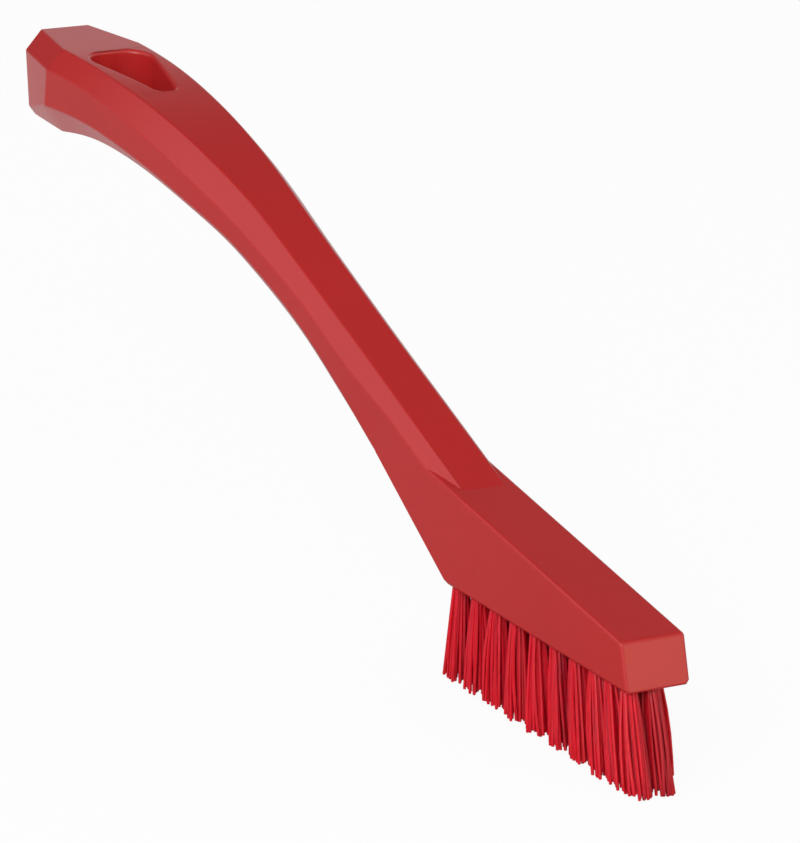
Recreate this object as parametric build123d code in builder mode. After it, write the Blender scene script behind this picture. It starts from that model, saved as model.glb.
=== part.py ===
# Grout brush: one moulded handle with a narrow head, three rows of bristle tufts and the
# flat metal anchors that hold them. Millimetres, +Z up, +X towards the front of the head.
# The origin is under the middle of the brush, at the level of the longest bristle tips.
import os
import random
from math import atan2, cos, radians, sin, tan

from build123d import *

os.makedirs("parts", exist_ok=True)

# Head
body_length = 205.0
head_width = 13.0
head_length = 55.0
head_front_height = 8.2
head_front_setback = 2.9
head_edge_radius = 0.7
head_heel_radius = 2.0
head_under_chamfer = 0.7

# Ridge that carries the handle down into the head
crease_distance = 54.3
crease_height = 16.9
ridge_chamfer = 2.25
neck_distance = 75.0
neck_depth = 10.9
ridge_overlap = 3.0

# Arched handle, from the thick tail down to its neck. The level line along the top of the
# tail and the line down the ridge would meet at the bend, and the arch rounds it.
bend_setback = 49.91
tail_length = 14.1
tail_top_height = 58.65
tail_top_half_width = 8.1
tail_half_width = 11.6
tail_side_depth = 10.6
tail_depth = 16.1
under_inset_share = 0.75

# Sections of the arch between tail and neck, as shares of the run along its top line, of
# the tail's half width and of the tail's depth
run_shares = (0.115, 0.255, 0.407, 0.563, 0.733, 0.885)
top_width_shares = (0.676, 0.601, 0.506, 0.402, 0.371, 0.359)
side_width_shares = (0.963, 0.911, 0.831, 0.690, 0.601, 0.600)
side_depth_shares = (0.596, 0.562, 0.514, 0.435, 0.408, 0.487)
depth_shares = (0.824, 0.680, 0.588, 0.536, 0.554, 0.616)

# Narrower end of the tail, leaning in towards its bottom
end_top_half_width = 5.1
end_half_width = 8.7
end_side_depth = 14.3
end_depth = 16.1
end_lean = 12.5
end_edge_radius = 0.7

# Hanging hole, wide towards the end of the tail and narrow towards the head
hole_setback = 17.6
hole_length = 21.5
hole_wide_half_width = 7.5
hole_narrow_half_width = 1.9
hole_wide_radius = 5.0
hole_narrow_radius = 1.8
hole_rim_radius = 0.9

# Rows of tufts
bristle_length = 17.2
row_spacing = 4.4
tuft_pitch = 5.9
front_pitch = 4.5
front_pitch_count = 2
long_row_count = 10
short_row_count = 9
long_row_setback = 2.4
short_row_setback = 8.6
rear_lean = 3.5
front_lean = 18.0

# One tuft, its hole and its strands
tuft_radius = 1.25
plug_sides = 10
tuft_gap = 0.05
tuft_hole_depth = 5.6
plug_recess = 0.5
strand_rows = (2, 4, 4, 4, 2)
strand_sides = 3
strand_radius = 0.24
strand_pitch = 0.46
strand_sink = 0.8
spread_along_share = 2.2
spread_across_share = 1.6
tip_wander = 0.05
tip_unevenness = 0.9
tip_flat_cut = 0.5

# Flat anchor that each tuft is folded round
anchor_width = 3.0
anchor_height = 1.5
anchor_thickness = 0.3
anchor_gap = 0.03
anchor_ceiling = 0.7

cut_overrun = 1.0


def sin_cos(angle):
    return sin(radians(angle)), cos(radians(angle))


def upward(face):
    return face.normal_at().Z


# Distance of each tuft of a long row behind the front of the head
def long_row_places():
    places = [long_row_setback]
    while len(places) < long_row_count:
        step = front_pitch if len(places) <= front_pitch_count else tuft_pitch
        places.append(places[-1] + step)
    return places


# The short row ends level with the long rows and starts further back
def short_row_places():
    last = long_row_places()[-1]
    step = (last - short_row_setback) / (short_row_count - 1)
    return [short_row_setback + step * index for index in range(short_row_count)]


# Tufts fan from nearly square at the heel to leaning forward at the front
def lean_at(distance):
    places = long_row_places()
    share = (places[-1] - distance) / (places[-1] - places[0])
    return rear_lean + (front_lean - rear_lean) * share


# Places of the strands about the axis of their tuft, row by row
def strand_offsets():
    middle_row = (len(strand_rows) - 1) / 2
    return [
        (strand_pitch * (index - (count - 1) / 2), strand_pitch * (row - middle_row))
        for row, count in enumerate(strand_rows)
        for index in range(count)
    ]


# Start and tip of each strand, measured from the middle of the tuft's mouth. The longest
# strands are trimmed level, so that the brush stands on them.
def strand_ends(distance):
    sine, cosine = sin_cos(lean_at(distance))
    start_height = plug_recess + strand_sink
    ends = []
    for along, across in strand_offsets():
        start = Vector(
            along * cosine - start_height * sine,
            across,
            along * sine + start_height * cosine,
        )
        tip_along = along * spread_along_share + random.uniform(-tip_wander, tip_wander)
        tip_across = across * spread_across_share + random.uniform(-tip_wander, tip_wander)
        drop = bristle_length - max(tip_unevenness * random.random() - tip_flat_cut, 0)
        reach = (drop + tip_along * sine) / cosine
        tip = Vector(tip_along * cosine + reach * sine, tip_across, -drop)
        ends.append((start, tip))
    return ends


# Name of each tuft, its distance behind the front of the head and its row's place
tufts = [
    (f"{row_name}_{number:02d}", distance, row_y)
    for row_name, row_y, places in (
        ("right", -row_spacing, long_row_places()),
        ("middle", 0, long_row_places()),
        ("left", row_spacing, short_row_places()),
    )
    for number, distance in enumerate(places, start=1)
]

random.seed(7)
strands = {name: strand_ends(distance) for name, distance, row_y in tufts}

# The brush reaches from the end of its tail to the foremost bristle tip
front_reach = strand_radius + max(
    tip.X - distance for name, distance, row_y in tufts for start, tip in strands[name]
)
front_x = (body_length - front_reach) / 2
tail_x = front_x - body_length
under_z = bristle_length

# Frame of each tuft: its origin in the mouth of its hole, its Z up along the hole
tuft_frames = {
    name: Location((front_x - distance, row_y, under_z), (0, -lean_at(distance), 0))
    for name, distance, row_y in tufts
}
hole_frames = [frame * Location((0, 0, -cut_overrun)) for frame in tuft_frames.values()]
plug_place = Location((0, 0, plug_recess))
anchor_place = Location((0, 0, tuft_hole_depth - anchor_ceiling - anchor_height / 2))
anchor_frames = {name: frame * anchor_place for name, frame in tuft_frames.items()}
slot_size = [
    size + 2 * anchor_gap for size in (anchor_width, anchor_thickness, anchor_height)
]

# Top line of the handle: level tail, an arc, then a straight ridge down to the crease
bend_drop = tail_top_height - crease_height
bend_reach = body_length - bend_setback - crease_distance
ridge_slope = atan2(bend_drop, bend_reach)
slope_sine, slope_cosine = sin(ridge_slope), cos(ridge_slope)
arch_tangent = bend_setback - tail_length
arch_radius = arch_tangent / tan(ridge_slope / 2)
arch_run = ridge_slope * arch_radius
arch_x = tail_x + tail_length
top_z = under_z + tail_top_height
neck_to_crease = (neck_distance - crease_distance) / slope_cosine
neck_run = arch_run + bend_reach / slope_cosine - arch_tangent - neck_to_crease


# Plane square to the handle's top line, with its Y pointing up out of the handle
def top_plane(run):
    angle = min(run, arch_run) / arch_radius
    straight = max(run - arch_run, 0)
    x = arch_x + arch_radius * sin(angle) + straight * cos(angle)
    z = top_z - arch_radius * (1 - cos(angle)) - straight * sin(angle)
    return Plane(origin=(x, 0, z), x_dir=(0, 1, 0), z_dir=(cos(angle), 0, -sin(angle)))


# Eight-sided section of the handle, with a chamfer above and below each side
def section(plane, top_half, side_half, side_depth, depth, inset):
    right_side = [
        (top_half, 0),
        (side_half, top_half - side_half),
        (side_half, -side_depth),
        (side_half - inset, -depth),
    ]
    left_side = [(-x, y) for x, y in reversed(right_side)]
    with BuildSketch(plane) as outline:
        Polygon(*right_side, *left_side, align=None)
    return outline.sketch


# Neck: where the arch meets the head, with the rear slope of the head below it
neck_plane = top_plane(neck_run)
neck_heel = neck_plane.from_local_coords((0, -neck_depth, 0))
heel_x = front_x - head_length
rear_slope = atan2(neck_heel.Z - under_z, heel_x - neck_heel.X)
neck_under_drop = head_under_chamfer / cos(rear_slope - ridge_slope)
neck_section = section(
    neck_plane,
    head_width / 2 - ridge_chamfer,
    head_width / 2,
    neck_depth - neck_under_drop,
    neck_depth,
    head_under_chamfer,
)

# Tail: the full section where the arch starts and the narrower one at the end
tail_section = section(
    top_plane(0),
    tail_top_half_width,
    tail_half_width,
    tail_side_depth,
    tail_depth,
    (tail_depth - tail_side_depth) * under_inset_share,
)
end_sine, end_cosine = sin_cos(end_lean)
end_section = section(
    Plane(origin=(tail_x, 0, top_z), x_dir=(0, 1, 0), z_dir=(end_cosine, 0, end_sine)),
    end_top_half_width,
    end_half_width,
    end_side_depth,
    end_depth,
    (end_depth - end_side_depth) * under_inset_share,
)

arch_sections = [tail_section]
for run_share, top_share, side_share, side_depth_share, depth_share in zip(
    run_shares, top_width_shares, side_width_shares, side_depth_shares, depth_shares
):
    arch_sections.append(
        section(
            top_plane(neck_run * run_share),
            tail_half_width * top_share,
            tail_half_width * side_share,
            tail_depth * side_depth_share,
            tail_depth * depth_share,
            tail_depth * (depth_share - side_depth_share) * under_inset_share,
        )
    )
arch_sections.append(neck_section)

# Head: a wedge whose sloping top runs back under the ridge, as far as the neck's plane
head_top_x = front_x - head_front_setback
head_slope = (crease_height - head_front_height) / (crease_distance - head_front_setback)
neck_top = neck_plane.origin
neck_top_drop = neck_top.Z - under_z - head_front_height - head_slope * (head_top_x - neck_top.X)
head_top_depth = neck_top_drop / (slope_cosine + head_slope * slope_sine)
head_top_rear = neck_plane.from_local_coords((0, -head_top_depth, 0))

with BuildPart() as head_block:
    with BuildSketch(Plane.XZ) as head_profile:
        with BuildLine():
            Polyline(
                (front_x, under_z),
                (head_top_x, under_z + head_front_height),
                (head_top_rear.X, head_top_rear.Z),
                (neck_heel.X, neck_heel.Z),
                (heel_x, under_z),
                close=True,
            )
        make_face()
        heel_corner = head_profile.vertices().sort_by_distance((heel_x, 0, under_z))[0]
        fillet(heel_corner, head_heel_radius)
    extrude(amount=head_width / 2, both=True)
    top_face = head_block.faces().sort_by(upward)[-1]
    front_face = head_block.faces().sort_by(Axis.X)[-1]
    rear_face = head_block.faces().sort_by(Axis.X)[0]
    spared_edges = top_face.edges() + front_face.edges() + rear_face.edges()
    side_edges = head_block.faces().filter_by(Axis.Y).edges()
    chamfer([edge for edge in side_edges if edge not in spared_edges], head_under_chamfer)
    top_face = head_block.faces().sort_by(upward)[-1]
    front_face = head_block.faces().sort_by(Axis.X)[-1]
    top_edges = top_face.edges().filter_by(Axis.Y, reverse=True)
    fillet(front_face.edges() + top_edges, head_edge_radius)

with BuildPart() as handle:
    loft([end_section, tail_section], ruled=True)
    end_face = handle.faces().sort_by(Axis.X)[0]
    fillet(end_face.edges(), end_edge_radius)
    loft(arch_sections)
    extrude(neck_section, amount=neck_to_crease + ridge_overlap)
    add(head_block.part)
    with BuildSketch() as hole_outline:
        Polygon(
            (tail_x + hole_setback, -hole_wide_half_width),
            (tail_x + hole_setback + hole_length, -hole_narrow_half_width),
            (tail_x + hole_setback + hole_length, hole_narrow_half_width),
            (tail_x + hole_setback, hole_wide_half_width),
            align=None,
        )
        fillet(hole_outline.vertices().sort_by(Axis.X)[:2], hole_wide_radius)
        fillet(hole_outline.vertices().sort_by(Axis.X)[-2:], hole_narrow_radius)
    extrude(amount=top_z + cut_overrun, mode=Mode.SUBTRACT)
    hole_rims = handle.edges(Select.LAST).filter_by(Axis.Z, reverse=True)
    fillet(hole_rims, hole_rim_radius)
    with BuildSketch(*[Plane(frame) for frame in hole_frames]):
        Circle(tuft_radius + tuft_gap)
        Rectangle(anchor_width + 2 * anchor_gap, anchor_thickness + 2 * anchor_gap)
    extrude(amount=tuft_hole_depth + cut_overrun, mode=Mode.SUBTRACT)
handle.part.label = "handle"
export_step(handle.part, "parts/handle.step")

# Each tuft is the end that fills its hole, split by the anchor, and the strands below it
for name, frame in tuft_frames.items():
    strand_solids = []
    for start, tip in strands[name]:
        root = Location(frame.position + start) * RegularPolygon(strand_radius, strand_sides)
        strand_solids.append(extrude(root, amount=(tip - start).length, dir=tip - start))
    with BuildPart() as tuft:
        with BuildSketch(Plane(frame * plug_place)):
            RegularPolygon(tuft_radius, plug_sides)
        extrude(amount=tuft_hole_depth - tuft_gap - plug_recess)
        with Locations(anchor_frames[name]):
            Box(*slot_size, mode=Mode.SUBTRACT)
        add(strand_solids)
    tuft.part.label = f"tuft_{name}"
    export_step(tuft.part, f"parts/tuft_{name}.step")

for name, frame in anchor_frames.items():
    with BuildPart(frame) as anchor:
        Box(anchor_width, anchor_thickness, anchor_height)
    anchor.part.label = f"anchor_{name}"
    export_step(anchor.part, f"parts/anchor_{name}.step")
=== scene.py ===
import math
import random

import bpy
from mathutils import Euler, Matrix, Vector


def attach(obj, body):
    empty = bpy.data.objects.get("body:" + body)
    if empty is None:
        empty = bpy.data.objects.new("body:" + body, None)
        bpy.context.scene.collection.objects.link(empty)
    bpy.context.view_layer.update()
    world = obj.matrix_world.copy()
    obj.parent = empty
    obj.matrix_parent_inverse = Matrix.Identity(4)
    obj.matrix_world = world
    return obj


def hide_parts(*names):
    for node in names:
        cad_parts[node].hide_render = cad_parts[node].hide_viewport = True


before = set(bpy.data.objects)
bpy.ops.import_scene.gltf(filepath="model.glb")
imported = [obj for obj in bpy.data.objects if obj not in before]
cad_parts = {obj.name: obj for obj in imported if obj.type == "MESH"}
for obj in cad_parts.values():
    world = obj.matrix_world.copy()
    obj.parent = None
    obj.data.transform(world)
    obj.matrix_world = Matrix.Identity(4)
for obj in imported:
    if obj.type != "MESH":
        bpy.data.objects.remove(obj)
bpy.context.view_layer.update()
print("frame loaded:", len(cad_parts), "nodes")


# Shader maths: a wrapped socket can be added, subtracted and multiplied like a number

class Wire:
    def __init__(self, tree, socket):
        self.tree = tree
        self.socket = socket

    def maths(self, operation, first, second):
        return addNode(self.tree, "ShaderNodeMath", {"operation": operation}, {0: first, 1: second})

    def __add__(self, other):
        return self.maths("ADD", self, other)

    def __radd__(self, other):
        return self.maths("ADD", other, self)

    def __sub__(self, other):
        return self.maths("SUBTRACT", self, other)

    def __rsub__(self, other):
        return self.maths("SUBTRACT", other, self)

    def __mul__(self, other):
        return self.maths("MULTIPLY", self, other)

    def __rmul__(self, other):
        return self.maths("MULTIPLY", other, self)

    def __abs__(self):
        return self.maths("ABSOLUTE", self, 0)


# Adds any node: its type, its settings, and the values or links of its sockets
def addNode(tree, kind, settings, values, output=0):
    made = tree.nodes.new(kind)
    for name, value in settings.items():
        if name == "stops":
            for stop, (place, colour) in zip(made.color_ramp.elements, value):
                stop.position = place
                stop.color = colour
        else:
            setattr(made, name, value)
    for name, value in values.items():
        if isinstance(value, Wire):
            tree.links.new(value.socket, made.inputs[name])
        else:
            made.inputs[name].default_value = value
    return Wire(tree, made.outputs[output]) if made.outputs else None


noiseMiddle = 0.5
patternStart = (0.013, 0.37, 0.021)  # patterns begin away from the origin


# The Mix node's colours are its inputs 6 and 7 and its output 2
def blendColours(tree, factor, first, second):
    return addNode(tree, "ShaderNodeMix", {"data_type": "RGBA"}, {0: factor, 6: first, 7: second}, 2)


def objectPlace(tree):
    return addNode(tree, "ShaderNodeTexCoord", {}, {}, "Object")


def objectAxis(tree, axis):
    return addNode(tree, "ShaderNodeSeparateXYZ", {}, {0: objectPlace(tree)}, axis)


def stretchedPlace(tree, scale):
    return addNode(tree, "ShaderNodeMapping", {}, {
        "Vector": objectPlace(tree),
        "Location": patternStart,
        "Scale": scale,
    })


def addNoise(tree, place, scale, detail):
    return addNode(tree, "ShaderNodeTexNoise", {}, {
        "Vector": place,
        "Scale": scale,
        "Detail": detail,
    })


# Turns the span from start to end into 0 to 1, or into the two values given
def spanValue(tree, value, start, end, low=0, high=1, kind="LINEAR"):
    return addNode(tree, "ShaderNodeMapRange", {"interpolation_type": kind}, {
        "Value": value,
        "From Min": start,
        "From Max": end,
        "To Min": low,
        "To Max": high,
    })


def addBump(tree, height):
    return addNode(tree, "ShaderNodeBump", {}, {"Height": height, "Distance": 1})


def newMaterial(name):
    material = bpy.data.materials.new(name)
    material.use_nodes = True
    material.node_tree.nodes.clear()
    return material, material.node_tree


def finishMaterial(tree, shader):
    addNode(tree, "ShaderNodeOutputMaterial", {}, {"Surface": shader})


handleFinish = {
    "colour": (0.485, 0.020, 0.019, 1),
    "flowColour": (0.435, 0.017, 0.017, 1),
    "flowScale": 38,
    "flowDetail": 3,
    "grainScale": 2600,
    "grainDetail": 2,
    "grainDepth": 0.000004,
    "grainShare": 0.6,
    "rippleScale": 190,
    "rippleDetail": 2,
    "rippleDepth": 0.000012,
    "roughness": 0.29,
    "roughnessSwing": 0.08,
    "refraction": 1.49,
}


def makeHandleMaterial(look):
    material, tree = newMaterial("handlePlastic")
    place = stretchedPlace(tree, (1, 1, 1))
    flow = addNoise(tree, place, look["flowScale"], look["flowDetail"])
    grain = addNoise(tree, place, look["grainScale"], look["grainDetail"])
    ripple = addNoise(tree, place, look["rippleScale"], look["rippleDetail"])
    mixed = look["grainShare"] * grain + (1 - look["grainShare"]) * flow
    shader = addNode(tree, "ShaderNodeBsdfPrincipled", {}, {
        "Base Color": blendColours(tree, flow, look["colour"], look["flowColour"]),
        "Roughness": look["roughness"] + look["roughnessSwing"] * (mixed - noiseMiddle),
        "Normal": addBump(tree, grain * look["grainDepth"] + ripple * look["rippleDepth"]),
        "IOR": look["refraction"],
    })
    finishMaterial(tree, shader)
    return material


# The filaments carry painted shade, deeper red between the rows than on the outside, and light
# scatters a little inside them
bristleFinish = {
    "colour": (0.68, 0.006, 0.022, 1),
    "deepColour": (0.57, 0.002, 0.013, 1),
    "paintedShadeColour": (0.45, 0.001, 0.010, 1),
    "shadeFullHalf": 0.0022,
    "shadeEndHalf": 0.0052,
    "streak": (1500, 1500, 40),
    "streakDetail": 2,
    "streakStops": ((0.36, (0, 0, 0, 1)), (0.64, (1, 1, 1, 1))),
    "roughness": 0.48,
    "roughnessSwing": 0.16,
    "streakDepth": 0.000006,
    "glow": 0.5,
    "glowDepths": (1.0, 0.12, 0.14),
    "glowScale": 0.0011,
    "refraction": 1.44,
}


def makeBristleMaterial(look):
    material, tree = newMaterial("bristleFibre")
    place = stretchedPlace(tree, look["streak"])
    streak = addNoise(tree, place, 1, look["streakDetail"])
    ramp = addNode(tree, "ShaderNodeValToRGB", {"stops": look["streakStops"]}, {"Fac": streak})
    outer = blendColours(tree, ramp, look["deepColour"], look["colour"])
    # Painted shade: the colour darkens from the outer rows towards the middle row, where the tufts
    # shade one another
    fromMiddle = abs(objectAxis(tree, "Y"))
    outward = spanValue(tree, fromMiddle, look["shadeFullHalf"], look["shadeEndHalf"], kind="SMOOTHSTEP")
    shader = addNode(tree, "ShaderNodeBsdfPrincipled", {}, {
        "Base Color": blendColours(tree, outward, look["paintedShadeColour"], outer),
        "Roughness": look["roughness"] + look["roughnessSwing"] * (streak - noiseMiddle),
        "Normal": addBump(tree, streak * look["streakDepth"]),
        "IOR": look["refraction"],
        "Subsurface Weight": look["glow"],
        "Subsurface Radius": look["glowDepths"],
        "Subsurface Scale": look["glowScale"],
    })
    finishMaterial(tree, shader)
    return material


anchorFinish = {
    "colour": (0.62, 0.62, 0.6, 1),
    "wornColour": (0.5, 0.5, 0.49, 1),
    "brush": (9000, 9000, 300),
    "brushDetail": 3,
    "roughness": 0.32,
    "roughnessSwing": 0.2,
}


def makeAnchorMaterial(look):
    material, tree = newMaterial("anchorSteel")
    place = stretchedPlace(tree, look["brush"])
    brushed = addNoise(tree, place, 1, look["brushDetail"])
    shader = addNode(tree, "ShaderNodeBsdfPrincipled", {}, {
        "Base Color": blendColours(tree, brushed, look["colour"], look["wornColour"]),
        "Roughness": look["roughness"] + look["roughnessSwing"] * (brushed - noiseMiddle),
        "Metallic": 1.0,
    })
    finishMaterial(tree, shader)
    return material


# The floor is white to the camera. For mirrored rays it glows as a painted reflection, dimmer under
# the head and at the near side than under the tail, which sets how bright the plastic's reflections
# are
floorFinish = {
    "colour": (0.86, 0.86, 0.86, 1),
    "white": (1, 1, 1, 1),
    "cameraShare": 0.94,
    "mirrorShare": 0.9,
    "mirrorHead": 0.13,
    "mirrorTail": 0.79,
    "headX": 0.06,
    "tailX": -0.17,
    "nearShare": 0.5,
    "nearY": -0.09,
    "farY": 0.0,
}


def makeFloorMaterial(look):
    material, tree = newMaterial("paleFloor")
    seen = addNode(tree, "ShaderNodeLightPath", {}, {}, "Is Camera Ray")
    glossy = addNode(tree, "ShaderNodeLightPath", {}, {}, "Is Glossy Ray")
    matt = addNode(tree, "ShaderNodeBsdfDiffuse", {}, {"Color": look["colour"]})
    lengthways, sideways = objectAxis(tree, "X"), objectAxis(tree, "Y")
    # Painted reflection: how strongly the floor glows in the plastic's mirror, by its place along and
    # across
    paintedReflectionAlong = spanValue(
        tree, lengthways, look["headX"], look["tailX"], look["mirrorHead"], look["mirrorTail"]
    )
    paintedReflectionAcross = spanValue(tree, sideways, look["nearY"], look["farY"], look["nearShare"])
    strength = seen + glossy * paintedReflectionAlong * paintedReflectionAcross
    bright = addNode(tree, "ShaderNodeEmission", {}, {"Color": look["white"], "Strength": strength})
    share = seen * look["cameraShare"] + glossy * look["mirrorShare"]
    shader = addNode(tree, "ShaderNodeMixShader", {}, {0: share, 1: matt, 2: bright})
    finishMaterial(tree, shader)
    return material


plasticMaterial = makeHandleMaterial(handleFinish)
fibreMaterial = makeBristleMaterial(bristleFinish)
steelMaterial = makeAnchorMaterial(anchorFinish)
floorMaterial = makeFloorMaterial(floorFinish)
print("materials made")


samePoint = 0.00001
sameLine = 0.0001
uprightNormal = 0.01


def setMaterial(piece, material):
    piece.data.materials.clear()
    piece.data.materials.append(material)


def clearSelection():
    if bpy.context.object and bpy.context.object.mode != "OBJECT":
        bpy.ops.object.mode_set(mode="OBJECT")
    bpy.ops.object.select_all(action="DESELECT")


def makeActive(piece):
    clearSelection()
    piece.select_set(True)
    bpy.context.view_layer.objects.active = piece


# Selects the points of the active piece that a test on their place picks, in edit mode
def selectPoints(piece, picked):
    bpy.ops.object.mode_set(mode="OBJECT")
    for polygon in piece.data.polygons:
        polygon.select = False
    for edge in piece.data.edges:
        edge.select = False
    for point in piece.data.vertices:
        point.select = picked(point.co)
    bpy.context.tool_settings.mesh_select_mode = (True, False, False)
    bpy.ops.object.mode_set(mode="EDIT")


# Selects the edges of the active piece that a test picks, in edit mode. The test gets the
# two ends and the angle between the two faces.
def selectEdges(piece, picked):
    bpy.ops.object.mode_set(mode="OBJECT")
    mesh = piece.data
    sides = {}
    for polygon in mesh.polygons:
        polygon.select = False
        for key in polygon.edge_keys:
            sides.setdefault(key, []).append(polygon.normal)
    for point in mesh.vertices:
        point.select = False
    for edge in mesh.edges:
        first, second = (mesh.vertices[index].co for index in edge.vertices)
        normals = sides[edge.key]
        edge.select = picked(first, second, math.degrees(normals[0].angle(normals[-1], 0)))
    bpy.context.tool_settings.mesh_select_mode = (False, True, False)
    bpy.ops.object.mode_set(mode="EDIT")


def roundEdges(amount, steps, **choices):
    bpy.ops.mesh.bevel(offset=amount, segments=steps, profile=0.5, affect="EDGES", **choices)


for name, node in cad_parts.items():
    if name.startswith("anchor"):
        setMaterial(node, steelMaterial)


# Handle: an eight-sided ring is drawn out from the tail's end along the arch and down the
# ridge, the head is a wedge joined to it, and the holes are cut out of both. A section is
# its half width on top and at the sides, then how deep its sides and the whole of it go.
handleShape = {
    "tailX": -0.105025,
    "topHeight": 0.07585,
    "tailLength": 0.0141,
    "arcRadius": 0.18002,
    "slope": 22.5,
    "neckRun": 0.12158,
    "ridgeLength": 0.0254,
    "lineSpacing": 0.0032,
    "tailLines": 4,
    "endSection": (0.0051, 0.0087, 0.0143, 0.0161),
    "endLean": 12.5,
    "tailSection": (0.0081, 0.0116, 0.0106, 0.0161),
    "neckSection": (0.00425, 0.0065, 0.01019, 0.0109),
    "neckInset": 0.0007,
    "runShares": (0.115, 0.255, 0.407, 0.563, 0.733, 0.885),
    "topShares": (0.676, 0.601, 0.506, 0.402, 0.371, 0.359),
    "sideShares": (0.963, 0.911, 0.831, 0.690, 0.601, 0.600),
    "sideDepthShares": (0.596, 0.562, 0.514, 0.435, 0.408, 0.487),
    "depthShares": (0.824, 0.680, 0.588, 0.536, 0.554, 0.616),
    "insetShare": 0.75,
    "edgeRound": 0.00033,
    "edgeSteps": 3,
    "edgeAngle": 6,
    "sides": 8,
    "startDrop": 0.004,
    "startRadius": 0.008,
    "firstStep": 0.0005,
}


# Smooth curve through values given at places, as a drawn spline would run
def smoothValue(places, values, at):
    last = len(places) - 1
    index = 0
    while index < last - 1 and at > places[index + 1]:
        index += 1

    def rise(point):
        return (values[point + 1] - values[point]) / (places[point + 1] - places[point])

    def steepness(point):
        if point == 0:
            return rise(0)
        if point == last:
            return rise(last - 1)
        spanBefore, spanAfter = places[point] - places[point - 1], places[point + 1] - places[point]
        return (rise(point - 1) * spanAfter + rise(point) * spanBefore) / (spanBefore + spanAfter)

    span = places[index + 1] - places[index]
    share = (at - places[index]) / span
    start, end = values[index], values[index + 1]
    startSteep, endSteep = steepness(index) * span, steepness(index + 1) * span
    square, cube = share ** 2, share ** 3
    return (
        (2 * cube - 3 * square + 1) * start + (cube - 2 * square + share) * startSteep
        + (3 * square - 2 * cube) * end + (cube - square) * endSteep
    )


# Corners of one ring from its top down, each as its half width and its place under the top
def ringCorners(origin, up, section, inset):
    topHalf, sideHalf, sideDepth, depth = section
    levels = (
        (topHalf, 0),
        (sideHalf, sideHalf - topHalf),
        (sideHalf, sideDepth),
        (sideHalf - inset, depth),
    )
    return [(origin - up * drop, half) for half, drop in levels]


def handleRings(shape):
    endLean, slope = math.radians(shape["endLean"]), math.radians(shape["slope"])
    radius, inset = shape["arcRadius"], shape["insetShare"]
    tail, end, neck = shape["tailSection"], shape["endSection"], shape["neckSection"]
    arcStart = Vector((shape["tailX"] + shape["tailLength"], 0, shape["topHeight"]))

    def archPlace(run):
        turn = min(run / radius, slope)
        onArc = arcStart + Vector((radius * math.sin(turn), 0, radius * math.cos(turn) - radius))
        way = Vector((math.cos(turn), 0, -math.sin(turn)))
        return onArc + way * (run - radius * turn), Vector((math.sin(turn), 0, math.cos(turn)))

    endTop = Vector((shape["tailX"], 0, shape["topHeight"]))
    endUp = Vector((-math.sin(endLean), 0, math.cos(endLean)))
    endRing = ringCorners(endTop, endUp, end, inset * (end[3] - end[2]))
    tailRing = ringCorners(*archPlace(0), tail, inset * (tail[3] - tail[2]))
    rings = [endRing]
    for step in range(1, shape["tailLines"]):
        share = step / shape["tailLines"]
        rings.append([
            (first.lerp(second, share), firstHalf + (secondHalf - firstHalf) * share)
            for (first, firstHalf), (second, secondHalf) in zip(endRing, tailRing)
        ])
    rings.append(tailRing)
    runs = [0] + [shape["neckRun"] * share for share in shape["runShares"]] + [shape["neckRun"]]
    columns = [
        [tail[0]] + [tail[1] * share for share in shape["topShares"]] + [neck[0]],
        [tail[1]] + [tail[1] * share for share in shape["sideShares"]] + [neck[1]],
        [tail[2]] + [tail[3] * share for share in shape["sideDepthShares"]] + [neck[2]],
        [tail[3]] + [tail[3] * share for share in shape["depthShares"]] + [neck[3]],
    ]
    insets = [inset * (depth - sideDepth) for sideDepth, depth in zip(columns[2], columns[3])]
    insets[-1] = shape["neckInset"]
    count = round(shape["neckRun"] / shape["lineSpacing"])
    for step in range(1, count + 1):
        run = shape["neckRun"] * step / count
        section = [smoothValue(runs, column, run) for column in columns]
        rings.append(ringCorners(*archPlace(run), section, smoothValue(runs, insets, run)))
    ridgeEnd = shape["neckRun"] + shape["ridgeLength"]
    rings.append(ringCorners(*archPlace(ridgeEnd), neck, shape["neckInset"]))
    return rings


def isNear(point, place, half):
    atPlace = (Vector((point.x, 0, point.z)) - place).length < samePoint
    return atPlace and abs(abs(point.y) - half) < samePoint


# Moves each pair of corners of a ring, left and right, from its old place to its new one
def placeRing(piece, old, new):
    for (place, half), (goal, goalHalf) in zip(old, new):
        selectPoints(piece, lambda point: isNear(point, place, half))
        bpy.ops.transform.translate(value=goal - place)
        bpy.ops.transform.resize(value=(1, goalHalf / half, 1), center_override=(0, 0, 0))


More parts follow.
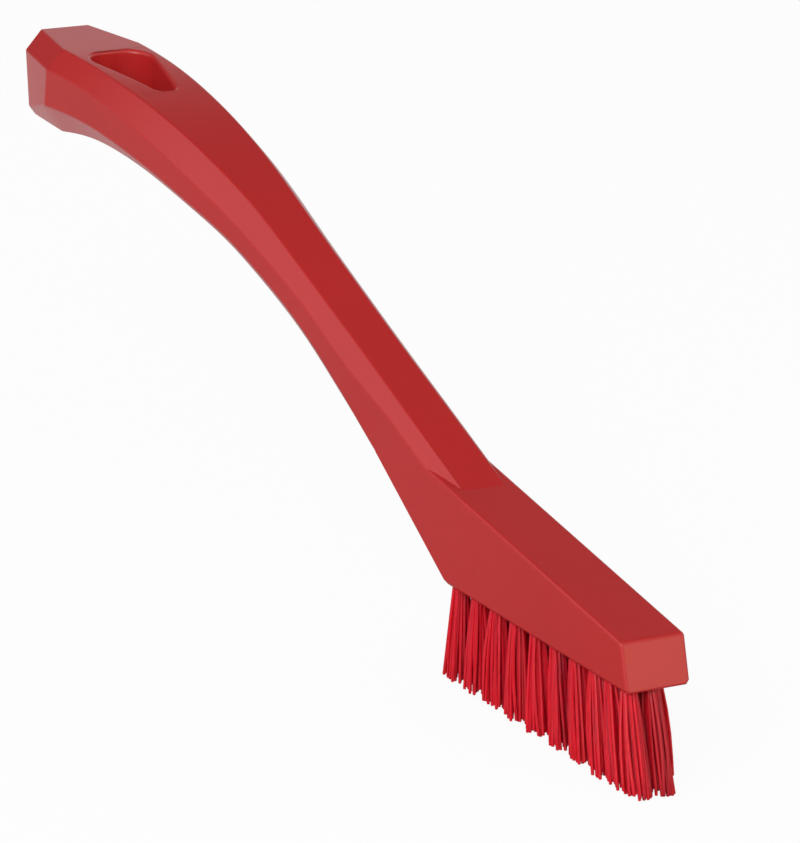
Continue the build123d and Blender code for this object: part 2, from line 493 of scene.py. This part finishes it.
def drawBody(shape):
    rings = handleRings(shape)
    clearSelection()
    start, radius = rings[0][1][0] - Vector((0, 0, shape["startDrop"])), shape["startRadius"]
    bpy.ops.mesh.primitive_circle_add(
        vertices=shape["sides"], radius=radius, fill_type="NGON", location=start,
        rotation=(0, math.pi / 2, 0),
    )
    body = bpy.context.object
    body.name = "mouldedHandle"
    bpy.ops.object.transform_apply(location=True, rotation=True, scale=True)
    bpy.ops.object.mode_set(mode="EDIT")
    bpy.ops.mesh.select_all(action="SELECT")
    bpy.ops.transform.rotate(value=math.pi / shape["sides"], orient_axis="X", center_override=start)
    ring = []
    for corner in range(shape["sides"] // 2):
        turn = math.pi * (2 * corner + 1) / shape["sides"]
        ring.append((start + Vector((0, 0, radius * math.cos(turn))), radius * math.sin(turn)))
    placeRing(body, ring, rings[0])
    step = Vector((shape["firstStep"], 0, 0))
    for old, new in zip(rings, rings[1:]):
        selectPoints(body, lambda point: any(isNear(point, place, half) for place, half in old))
        bpy.ops.mesh.extrude_region_move(TRANSFORM_OT_translate={"value": step})
        placeRing(body, [(place + step, half) for place, half in old], new)
    bpy.ops.mesh.select_all(action="SELECT")
    bpy.ops.mesh.normals_make_consistent(inside=False)
    selectEdges(body, lambda first, second, angle: angle > shape["edgeAngle"])
    roundEdges(shape["edgeRound"], shape["edgeSteps"], clamp_overlap=False)
    bpy.ops.object.mode_set(mode="OBJECT")
    return body


# Head: a wedge with its corners given from the front's foot round by the top to the heel
headShape = {
    "corners": (
        (0.099975, 0.0172),
        (0.097075, 0.0254),
        (0.023012, 0.037936),
        (0.020803, 0.032604),
        (0.044975, 0.0172),
    ),
    "halfWidth": 0.0065,
    "heelRound": 0.0006,
    "heelSteps": 4,
    "underChamfer": 0.0007,
    "edgeRound": 0.0006,
    "edgeSteps": 4,
    "edgeAngle": 20,
    "lowBand": 0.006,
    "footBand": 0.001,
    "longEdge": 0.01,
    "startRadius": 0.01,
}


def drawOutline(name, corners, y, radius):
    clearSelection()
    count = len(corners)
    middle = Vector((sum(x for x, z in corners) / count, y, sum(z for x, z in corners) / count))
    bpy.ops.mesh.primitive_circle_add(
        vertices=count, radius=radius, fill_type="NGON", location=middle, rotation=(math.pi / 2, 0, 0)
    )
    outline = bpy.context.object
    outline.name = name
    bpy.ops.object.transform_apply(location=True, rotation=True, scale=True)
    starts = [point.co.copy() for point in outline.data.vertices]
    for start, (x, z) in zip(starts, corners):
        selectPoints(outline, lambda point: (point - start).length < samePoint)
        bpy.ops.transform.translate(value=(x - start.x, 0, z - start.z))
    return outline


def drawHead(shape):
    half = shape["halfWidth"]
    head = drawOutline("headBlock", shape["corners"], -half, shape["startRadius"])
    bpy.ops.mesh.select_all(action="SELECT")
    bpy.ops.mesh.extrude_region_move(TRANSFORM_OT_translate={"value": (0, 2 * half, 0)})
    bpy.ops.mesh.select_all(action="SELECT")
    bpy.ops.mesh.normals_make_consistent(inside=False)
    (frontX, underZ), (topX, _), _, (neckX, neckZ), (heelX, _) = shape["corners"]
    bandZ, footZ = underZ + shape["lowBand"], underZ + shape["footBand"]

    def runsAlong(first, second):
        return abs(first.y - second.y) < sameLine

    def atHeel(first, second, angle):
        return abs(first.x - heelX) < sameLine and abs(second.x - heelX) < sameLine

    def underSide(first, second, angle):
        low, high = sorted((first.z, second.z))
        onSlopeOrFoot = low < bandZ and high < neckZ + sameLine and abs(first.x - second.x) > sameLine
        upTheFront = max(first.x, second.x) > frontX - sameLine and high > footZ
        return runsAlong(first, second) and onSlopeOrFoot and not upTheFront

    def frontOrTop(first, second, angle):
        atFront = min(first.x, second.x) > topX - sameLine and angle > shape["edgeAngle"]
        atSides = runsAlong(first, second) and min(abs(first.y), abs(second.y)) > half - sameLine
        onTop = min(first.z, second.z) > bandZ and min(first.x, second.x) > neckX + sameLine
        return atFront or (atSides and onTop and abs(first.x - second.x) > shape["longEdge"])

    selectEdges(head, atHeel)
    roundEdges(shape["heelRound"], shape["heelSteps"])
    selectEdges(head, underSide)
    roundEdges(shape["underChamfer"], 1)
    selectEdges(head, frontOrTop)
    roundEdges(shape["edgeRound"], shape["edgeSteps"])
    bpy.ops.object.mode_set(mode="OBJECT")
    return head


# Hanging hole: a wedge with rounded corners, wide towards the tail's end
hangingHole = {
    "start": -0.087425,
    "length": 0.0215,
    "wideHalf": 0.0075,
    "narrowHalf": 0.0019,
    "wideRound": 0.00647,
    "narrowRound": 0.00139,
    "wideSteps": 14,
    "narrowSteps": 6,
    "rim": 0.0007,
    "rimSteps": 4,
    "under": 0.05,
    "height": 0.035,
    "startSize": 0.01,
}


def applyBoolean(piece, other, operation):
    makeActive(piece)
    joint = piece.modifiers.new("joint", "BOOLEAN")
    joint.operation = operation
    joint.solver = "EXACT"
    joint.object = other
    bpy.ops.object.modifier_apply(modifier=joint.name)
    bpy.data.objects.remove(other)


# Selects the edges where upright walls in the place that a test picks meet other faces
def selectRims(body, inPlace):
    mesh = body.data
    walls = {}
    for polygon in mesh.polygons:
        isWall = abs(polygon.normal.z) < uprightNormal and inPlace(polygon.center)
        for key in polygon.edge_keys:
            walls.setdefault(key, []).append(isWall)
    rims = {
        frozenset(tuple(mesh.vertices[index].co) for index in key)
        for key, found in walls.items() if sorted(found) == [False, True]
    }
    selectEdges(body, lambda first, second, angle: frozenset((tuple(first), tuple(second))) in rims)


def cutHangingHole(body, shape):
    clearSelection()
    start, end = shape["start"], shape["start"] + shape["length"]
    wide, narrow = shape["wideHalf"], shape["narrowHalf"]
    bpy.ops.mesh.primitive_plane_add(size=shape["startSize"], location=(0, 0, shape["under"]))
    cutter = bpy.context.object
    bpy.ops.object.transform_apply(location=True, rotation=True, scale=True)
    for point in [vertex.co.copy() for vertex in cutter.data.vertices]:
        x, half = (end, narrow) if point.x > 0 else (start, wide)
        y = math.copysign(half, point.y)
        selectPoints(cutter, lambda place: (place - point).length < samePoint)
        bpy.ops.transform.translate(value=(x - point.x, y - point.y, 0))
    bpy.ops.mesh.select_all(action="SELECT")
    bpy.ops.mesh.extrude_region_move(TRANSFORM_OT_translate={"value": (0, 0, shape["height"])})
    bpy.ops.mesh.select_all(action="SELECT")
    bpy.ops.mesh.normals_make_consistent(inside=False)

    def isUpright(first, second, x):
        return abs(first.z - second.z) > shape["height"] / 2 and abs(first.x - x) < sameLine

    def isInHole(place):
        return start - sameLine < place.x < end + sameLine and abs(place.y) < wide + sameLine

    for x, size in ((start, "wide"), (end, "narrow")):
        selectEdges(cutter, lambda first, second, angle: isUpright(first, second, x))
        roundEdges(shape[size + "Round"], shape[size + "Steps"], clamp_overlap=False)
    bpy.ops.object.mode_set(mode="OBJECT")
    applyBoolean(body, cutter, "DIFFERENCE")
    selectRims(body, isInHole)
    roundEdges(shape["rim"], shape["rimSteps"], clamp_overlap=False, loop_slide=False)
    bpy.ops.object.mode_set(mode="OBJECT")


# Rows of tufts in the head's underside, which the holes and the bristles share
tuftLayout = {
    "headFront": 0.099975,
    "headUnder": 0.0172,
    "rows": (("right", -0.0044, 10), ("middle", 0.0, 10), ("left", 0.0044, 9)),
    "longCount": 10,
    "longSetback": 0.0024,
    "shortSetback": 0.0086,
    "pitch": 0.0059,
    "frontPitch": 0.0045,
    "frontPitches": 2,
    "rearLean": 3.5,
    "frontLean": 18.0,
    "filaments": 34,
    "rootRadius": 0.00112,
    "rootDepth": 0.001,
    "spreadAlong": 2.35,
    "spreadAcross": 1.9,
    "wander": 0.0004,
    "spinSwing": 0.9,
    "unevenness": 0.0011,
    "heelShorter": 0.0006,
    "tipLift": 0.00007,
    "foremost": 0.1047,
    "seed": 11,
}


def longRow(layout):
    places = [layout["longSetback"]]
    while len(places) < layout["longCount"]:
        step = layout["frontPitch"] if len(places) <= layout["frontPitches"] else layout["pitch"]
        places.append(places[-1] + step)
    return places


def shortRow(layout, count):
    last = longRow(layout)[-1]
    step = (last - layout["shortSetback"]) / (count - 1)
    return [layout["shortSetback"] + step * index for index in range(count)]


# Middle of a tuft's mouth, the way its bristles point and the way along its row
def tuftFrame(layout, distance, rowPlace):
    places = longRow(layout)
    share = (places[-1] - distance) / (places[-1] - places[0])
    lean = math.radians(layout["rearLean"] + (layout["frontLean"] - layout["rearLean"]) * share)
    mouth = Vector((layout["headFront"] - distance, rowPlace, layout["headUnder"]))
    down = Vector((math.sin(lean), 0, -math.cos(lean)))
    along = Vector((math.cos(lean), 0, math.sin(lean)))
    return mouth, down, along


def eachTuft(layout):
    for rowName, rowPlace, count in layout["rows"]:
        places = longRow(layout) if count == layout["longCount"] else shortRow(layout, count)
        for number, distance in enumerate(places, start=1):
            yield f"{rowName}_{number:02d}", distance, rowPlace


tuftHoles = {"radius": 0.0013, "depth": 0.0056, "overrun": 0.001, "sides": 16}


def cutTuftHoles(body, shape):
    clearSelection()
    cutters = []
    length = shape["depth"] + shape["overrun"]
    for _, distance, rowPlace in eachTuft(tuftLayout):
        mouth, down, _ = tuftFrame(tuftLayout, distance, rowPlace)
        middle = mouth + down * (shape["overrun"] - length / 2)
        bpy.ops.mesh.primitive_cylinder_add(
            vertices=shape["sides"], radius=shape["radius"], depth=length, location=middle,
            rotation=down.to_track_quat("Z", "Y").to_euler(),
        )
        cutters.append(bpy.context.object)
    for cutter in cutters:
        cutter.select_set(True)
    bpy.ops.object.join()
    cutter = bpy.context.object
    bpy.ops.object.transform_apply(location=True, rotation=True, scale=True)
    applyBoolean(body, cutter, "DIFFERENCE")


# Facets stay flat and crisp up to their rounded edges
handleShading = {
    "mergeAngle": 0.05,
    "smoothAngle": 32,
    "creaseAngle": 6,
    "facetWeight": 50,
}


# Selects the edges of the active piece where its surface folds inwards, in edit mode
def selectCreases(piece, leastAngle):
    mesh = piece.data
    sides = {}
    for polygon in mesh.polygons:
        for key in polygon.edge_keys:
            ends = frozenset(tuple(mesh.vertices[index].co) for index in key)
            sides.setdefault(ends, []).append(polygon)

    def isCrease(first, second, angle):
        faces = sides[frozenset((tuple(first), tuple(second)))]
        return angle > leastAngle and (faces[1].center - faces[0].center).dot(faces[0].normal) > 0

    selectEdges(piece, isCrease)


def makeHandle(shading):
    body = drawBody(handleShape)
    print("body drawn:", len(body.data.polygons), "faces")
    cutHangingHole(body, hangingHole)
    print("hanging hole cut:", len(body.data.polygons), "faces")
    head = drawHead(headShape)
    applyBoolean(body, head, "UNION")
    cutTuftHoles(body, tuftHoles)
    makeActive(body)
    bpy.ops.object.mode_set(mode="EDIT")
    bpy.ops.mesh.select_all(action="SELECT")
    bpy.ops.mesh.dissolve_limited(angle_limit=math.radians(shading["mergeAngle"]))
    bpy.ops.object.mode_set(mode="OBJECT")
    print("head joined and drilled:", len(body.data.polygons), "faces")
    makeActive(body)
    bpy.ops.object.shade_smooth_by_angle(angle=math.radians(shading["smoothAngle"]))
    selectCreases(body, shading["creaseAngle"])
    bpy.ops.mesh.mark_sharp()
    bpy.ops.object.mode_set(mode="OBJECT")
    weighted = body.modifiers.new("flatFacets", "WEIGHTED_NORMAL")
    weighted.keep_sharp = True
    weighted.weight = shading["facetWeight"]
    bpy.ops.object.modifier_apply(modifier=weighted.name)
    setMaterial(body, plasticMaterial)
    return body


handle = makeHandle(handleShading)
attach(handle, "root")
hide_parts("handle")
print("handle made:", len(handle.data.polygons), "faces")


# Bristles: one filament modelled in a few bowed kinds, copied round each tuft
filamentShape = {
    "sides": 6,
    "radius": 0.00029,
    "length": 0.018,
    "cuts": (0.2, 0.42, 0.64, 0.84),
    "cutReach": 0.05,
    "tipTaper": 0.72,
    "tipRound": 0.00014,
    "bows": (0.0, 0.0002, 0.0004, 0.0006),
    "smoothAngle": 50,
}


def makeFilament(name, shape, bow):
    clearSelection()
    length = shape["length"]
    bpy.ops.mesh.primitive_cylinder_add(
        vertices=shape["sides"], radius=shape["radius"], depth=length, location=(0, 0, length / 2)
    )
    filament = bpy.context.object
    filament.name = name
    bpy.ops.object.transform_apply(location=True, rotation=True, scale=True)
    for cut in shape["cuts"]:
        bpy.ops.object.mode_set(mode="EDIT")
        bpy.ops.mesh.select_all(action="SELECT")
        bpy.ops.mesh.bisect(plane_co=(0, 0, cut * length), plane_no=(0, 0, 1))
    selectPoints(filament, lambda place: place.z > length - sameLine)
    bpy.ops.mesh.extrude_region_move(TRANSFORM_OT_translate={"value": (0, 0, shape["tipRound"])})
    bpy.ops.transform.resize(value=(shape["tipTaper"], shape["tipTaper"], 1))
    for share in (*shape["cuts"], 1):
        low, high = (share - shape["cutReach"]) * length, (share + shape["cutReach"]) * length
        selectPoints(filament, lambda place: low < place.z < high)
        bpy.ops.transform.translate(value=(bow * math.sin(math.pi * share), 0, 0))
    bpy.ops.object.mode_set(mode="OBJECT")
    bpy.ops.object.shade_smooth_by_angle(angle=math.radians(shape["smoothAngle"]))
    return filament


# Roots are laid out as a sunflower's seeds, and the tips spread from them
def makeTuft(name, layout, kinds, distance, rowPlace, rng):
    mouth, down, along = tuftFrame(layout, distance, rowPlace)
    lean = math.atan2(down.x, -down.z)
    across = Vector((0, 1, 0))
    count = layout["filaments"]
    copies = []
    for index in range(count):
        radius = layout["rootRadius"] * math.sqrt((index + 0.5) / count)
        turn = index * math.pi * (3 - math.sqrt(5))
        x, y = radius * math.cos(turn), radius * math.sin(turn)
        root = mouth - down * layout["rootDepth"] + along * x + across * y
        shorter = layout["unevenness"] * rng.random() ** 2
        shorter += layout["heelShorter"] * distance / longRow(layout)[-1]
        drop = layout["headUnder"] - layout["tipLift"] - shorter
        tipX = x * layout["spreadAlong"] + rng.uniform(-1, 1) * layout["wander"]
        tipY = y * layout["spreadAcross"] + rng.uniform(-1, 1) * layout["wander"]
        reach = (drop + tipX * math.sin(lean)) / math.cos(lean)
        tip = mouth + down * reach + along * tipX + across * tipY
        tip.x = min(tip.x, layout["foremost"])
        way = tip - root
        kind = kinds[rng.randrange(len(kinds))]
        copy = kind.copy()
        copy.data = kind.data.copy()
        bpy.context.scene.collection.objects.link(copy)
        stretch = way.length / (filamentShape["length"] + filamentShape["tipRound"])
        turnDown = way.to_track_quat("Z", "Y").to_matrix().to_4x4()
        outward = turnDown.inverted() @ (along * x + across * y)
        swing = rng.uniform(-1, 1) * layout["spinSwing"]
        spin = Matrix.Rotation(math.atan2(outward.y, outward.x) + swing, 4, "Z")
        fitted = Matrix.Translation(root) @ turnDown @ spin @ Matrix.Diagonal((1, 1, stretch, 1))
        copy.data.transform(fitted)
        copies.append(copy)
    clearSelection()
    for copy in copies:
        copy.select_set(True)
    bpy.context.view_layer.objects.active = copies[0]
    bpy.ops.object.join()
    tuft = bpy.context.object
    tuft.name = f"bristles_{name}"
    setMaterial(tuft, fibreMaterial)
    return tuft


def makeBristles(layout):
    rng = random.Random(layout["seed"])
    kinds = [
        makeFilament(f"filament_{number}", filamentShape, bow)
        for number, bow in enumerate(filamentShape["bows"])
    ]
    tufts = []
    for name, distance, rowPlace in eachTuft(layout):
        tuft = makeTuft(name, layout, kinds, distance, rowPlace, rng)
        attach(tuft, "root")
        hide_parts(f"tuft_{name}")
        tufts.append(tuft)
    for kind in kinds:
        bpy.data.objects.remove(kind)
    return tufts


tufts = makeBristles(tuftLayout)
faceCount = sum(len(tuft.data.polygons) for tuft in tufts)
print("bristles made:", len(tufts), "tufts,", faceCount, "faces")


# Studio: pale floor, soft light from all round with two dark cloths that the plastic
# mirrors, three lamps, and the photograph's camera. A cloth is the way to its middle, how
# near that way it begins and is full, and how dark it is. A lamp is its name, place, aim,
# size, power and colour.
studio = {
    "floorSize": 6.0,
    "floorDrop": 0.0002,
    "worldStrength": 0.73,
    "worldColour": (1, 1, 1, 1),
    "cloths": (
        ((-0.42, 0.35, 0.84), 0.74, 0.92, 0.86),
        ((-0.93, -0.25, 0.27), 0.84, 0.95, 0.85),
    ),
    "lights": (
        ("lightAbove", (0.55, -0.75, 0.62), (0.03, 0, 0.02), 0.6, 6.3, (1, 1, 1)),
        ("lightTail", (-0.62, -1.0, 1.12), (0, 0, 0.05), 0.75, 0.95, (0.75, 0.84, 1)),
        ("lightFront", (1.2, 0.8, 0.4), (0.08, 0, 0.03), 0.6, 1.5, (1, 0.7, 0.4)),
    ),
    "cameraPlace": (0.769984, -0.508841, 0.349790),
    "cameraAim": (0.007361, 0.007491, 0.032496),
    "cameraRoll": 4.348,
    "lens": 234.85,
    "sensor": 36,
    "clipStart": 0.01,
}


def makeFloor(setup):
    clearSelection()
    bpy.ops.mesh.primitive_plane_add(size=setup["floorSize"], location=(0, 0, -setup["floorDrop"]))
    floor = bpy.context.object
    floor.name = "floor"
    setMaterial(floor, floorMaterial)


def makeWorld(setup):
    world = bpy.data.worlds.new("studioWorld")
    world.use_nodes = True
    tree = world.node_tree
    tree.nodes.clear()
    seen = addNode(tree, "ShaderNodeLightPath", {}, {}, "Is Camera Ray")
    way = addNode(tree, "ShaderNodeTexCoord", {}, {}, "Generated")
    base = setup["worldStrength"]
    for middle, edge, core, share in setup["cloths"]:
        likeness = {"operation": "DOT_PRODUCT"}
        near = addNode(tree, "ShaderNodeVectorMath", likeness, {0: way, 1: middle}, "Value")
        base = base * (1 - share * spanValue(tree, near, edge, core, kind="SMOOTHSTEP"))
    strength = base + (1 - base) * seen
    shader = addNode(tree, "ShaderNodeBackground", {}, {
        "Color": setup["worldColour"],
        "Strength": strength,
    })
    addNode(tree, "ShaderNodeOutputWorld", {}, {"Surface": shader})
    bpy.context.scene.world = world


def makeLights(setup):
    for name, place, aim, size, power, colour in setup["lights"]:
        data = bpy.data.lights.new(name, "AREA")
        data.shape = "SQUARE"
        data.size = size
        data.energy = power
        data.color = colour
        light = bpy.data.objects.new(name, data)
        bpy.context.scene.collection.objects.link(light)
        light.location = place
        light.rotation_euler = (Vector(aim) - Vector(place)).to_track_quat("-Z", "Y").to_euler()


def makeCamera(setup):
    data = bpy.data.cameras.new("camera")
    camera = bpy.data.objects.new("camera", data)
    bpy.context.scene.collection.objects.link(camera)
    data.sensor_width = setup["sensor"]
    data.lens = setup["lens"]
    place, aim = Vector(setup["cameraPlace"]), Vector(setup["cameraAim"])
    level = (aim - place).to_track_quat("-Z", "Y")
    roll = Euler((0, 0, math.radians(setup["cameraRoll"]))).to_quaternion()
    camera.location = place
    camera.rotation_euler = (level @ roll).to_euler()
    data.clip_start = setup["clipStart"]
    bpy.context.scene.camera = camera


makeFloor(studio)
makeWorld(studio)
makeLights(studio)
makeCamera(studio)
bpy.context.scene.view_settings.view_transform = "Standard"
print("studio ready")
